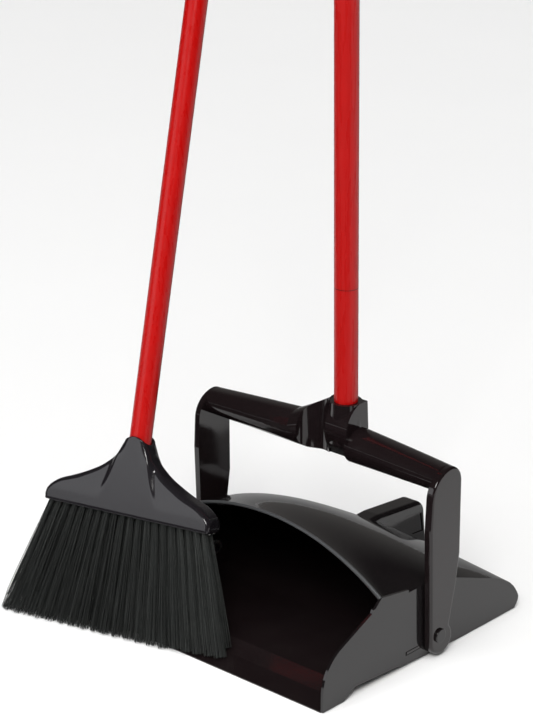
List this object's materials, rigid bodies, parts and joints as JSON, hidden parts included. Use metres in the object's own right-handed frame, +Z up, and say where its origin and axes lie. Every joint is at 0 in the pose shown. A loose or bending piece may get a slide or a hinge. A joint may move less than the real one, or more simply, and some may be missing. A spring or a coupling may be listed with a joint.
{
  "type": "dust pan and brush set",
  "caption": "Upright dust pan with an arched hood and a swinging yoke handle, and an angled long-handled broom standing in front of its mouth.",
  "frame": {"origin": "on the floor, on the pan's flat underside, midway between the two pivot pins", "axes": "+X across the pan, -Y out of its mouth, +Z up along the handles"},
  "size_m": [0.4256, 0.4016, 0.9708],
  "materials": {
    "black_plastic": "glossy injection-moulded black plastic",
    "red_tube": "glossy red coating on a steel tube",
    "bristle": "dark grey synthetic fibres with flagged tips",
    "plated_steel": "zinc-plated steel",
    "grey_plastic": "plain moulded plastic"
  },
  "bodies": {
    "pan": {"hood_shell": "black_plastic", "floor_tray": "black_plastic", "rear_grip": "black_plastic", "grip_screws": "plated_steel", "pivot_pin_left": "black_plastic", "pivot_pin_right": "black_plastic", "pin_retainer_left": "plated_steel", "pin_retainer_right": "plated_steel"},
    "yoke_handle": {"yoke": "black_plastic", "pan_handle_tube": "red_tube", "pan_handle_tip": "grey_plastic", "pan_handle_cap": "black_plastic"},
    "broom": {"head_cap": "black_plastic", "tuft_block": "grey_plastic", "bristle_row_1": "bristle", "bristle_row_2": "bristle", "bristle_row_3": "bristle", "bristle_row_4": "bristle", "tuft_staples": "plated_steel", "block_screws": "plated_steel", "broom_handle_tube": "red_tube", "broom_handle_tip": "grey_plastic", "broom_handle_cap": "black_plastic"}
  },
  "joints": [
    {"name": "yoke_swing", "type": "hinge", "parent": "pan", "child": "yoke_handle", "pos_m": [0, 0, 0.026], "axis": [1, 0, 0], "range_deg": [0, 38]},
    {"name": "broom_lift", "type": "slide", "parent": "pan", "child": "broom", "axis": [0, 0, 1], "range_m": [0, 0.3]}
  ]
}
